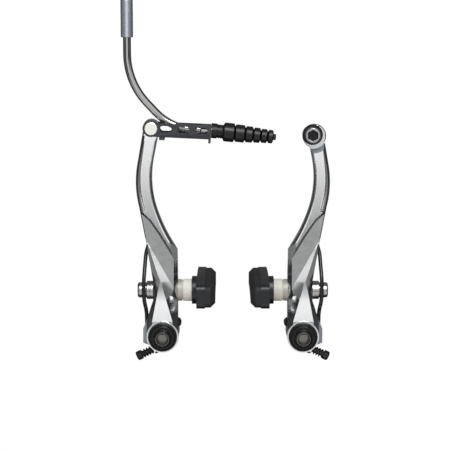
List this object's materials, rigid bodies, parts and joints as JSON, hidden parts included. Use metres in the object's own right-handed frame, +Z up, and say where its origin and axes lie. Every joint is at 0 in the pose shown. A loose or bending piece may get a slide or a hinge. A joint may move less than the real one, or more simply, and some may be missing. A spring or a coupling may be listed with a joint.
{
  "type": "v brake",
  "caption": "Pair of forged linear-pull bicycle brake arms with return springs, rubber shoes, and a cable link with bent guide tube and rubber boot.",
  "frame": {"origin": "midway between the two pivot axes, on the plane where the bushes seat on the frame", "axes": "+X to the right arm as seen from the front, -Y towards the viewer in front of the brake, +Z up along the arms"},
  "size_m": [0.1066, 0.07, 0.1853],
  "materials": {
    "forged_aluminium": "satin silver, blasted and clear coated",
    "zinc_steel": "zinc plated",
    "bright_steel": "polished",
    "satin_nickel": "satin nickel",
    "black_steel": "black, satin",
    "black_plastic": "moulded, satin black",
    "black_moulding": "moulded, matt black",
    "pad_rubber": "matt black",
    "boot_rubber": "satin black",
    "pale_spacer": "warm off-white, satin",
    "slate_link": "dark slate grey, satin",
    "grey_ferrule": "grey anodised, satin"
  },
  "bodies": {
    "mounts": {"left_pivot_bush": "zinc_steel", "left_pivot_cap": "black_plastic", "left_pivot_bolt": "black_steel", "left_spring_holder": "black_plastic", "left_stop_pin": "zinc_steel", "left_return_spring": "black_steel", "right_pivot_bush": "zinc_steel", "right_pivot_cap": "black_plastic", "right_pivot_bolt": "black_steel", "right_spring_holder": "black_plastic", "right_stop_pin": "zinc_steel", "right_return_spring": "black_steel"},
    "left_arm": {"left_spring_hook": "zinc_steel", "left_arm": "forged_aluminium", "left_screw_coil": "black_steel", "left_inner_cup_washer": "zinc_steel", "left_shoe_spacer": "pale_spacer", "left_outer_cup_washer": "zinc_steel", "left_outer_dome_washer": "zinc_steel", "left_shoe_nut": "zinc_steel", "left_shoe_post": "zinc_steel", "left_pad_backing": "black_moulding", "left_brake_pad": "pad_rubber"},
    "left_screw": {"left_tension_screw": "black_steel"},
    "right_arm": {"right_spring_hook": "zinc_steel", "right_arm": "forged_aluminium", "right_screw_coil": "black_steel", "right_inner_cup_washer": "zinc_steel", "right_shoe_spacer": "pale_spacer", "right_outer_cup_washer": "zinc_steel", "right_outer_dome_washer": "zinc_steel", "right_shoe_nut": "zinc_steel", "right_shoe_post": "zinc_steel", "right_pad_backing": "black_moulding", "right_brake_pad": "pad_rubber", "cable_clamp_washer": "black_steel", "cable_clamp_bolt": "bright_steel"},
    "right_screw": {"right_tension_screw": "black_steel"},
    "link": {"link_bracket": "slate_link", "link_pin": "satin_nickel"},
    "noodle": {"noodle_tube": "bright_steel", "noodle_socket": "grey_ferrule", "noodle_nose": "bright_steel", "boot": "boot_rubber"}
  },
  "joints": [
    {"name": "left_arm_swing", "type": "hinge", "parent": "mounts", "child": "left_arm", "pos_m": [-0.036, -0.0105, 0], "axis": [0, -1, 0], "range_deg": [-3, 25], "stiffness_Nm_per_rad": 1, "deforming": ["left_return_spring"]},
    {"name": "left_screw_turn", "type": "hinge", "parent": "left_arm", "child": "left_screw", "pos_m": [-0.03827, -0.0115, -0.00707], "axis": [0.9063, 0, 0.4226], "range_deg": [-360, 360]},
    {"name": "right_arm_swing", "type": "hinge", "parent": "mounts", "child": "right_arm", "pos_m": [0.036, -0.0105, 0], "axis": [0, 1, 0], "range_deg": [-3, 25], "stiffness_Nm_per_rad": 1, "deforming": ["right_return_spring"]},
    {"name": "right_screw_turn", "type": "hinge", "parent": "right_arm", "child": "right_screw", "pos_m": [0.03827, -0.0115, -0.00707], "axis": [-0.9063, 0, 0.4226], "range_deg": [-360, 360]},
    {"name": "link_swing", "type": "hinge", "parent": "left_arm", "child": "link", "pos_m": [-0.04125, -0.0147, 0.1069], "axis": [0, -1, 0], "range_deg": [0, 60]},
    {"name": "noodle_swivel", "type": "hinge", "parent": "link", "child": "noodle", "pos_m": [-0.01158, -0.0147, 0.1055], "axis": [0.9989, 0, -0.0471], "range_deg": [-12, 12]}
  ]
}
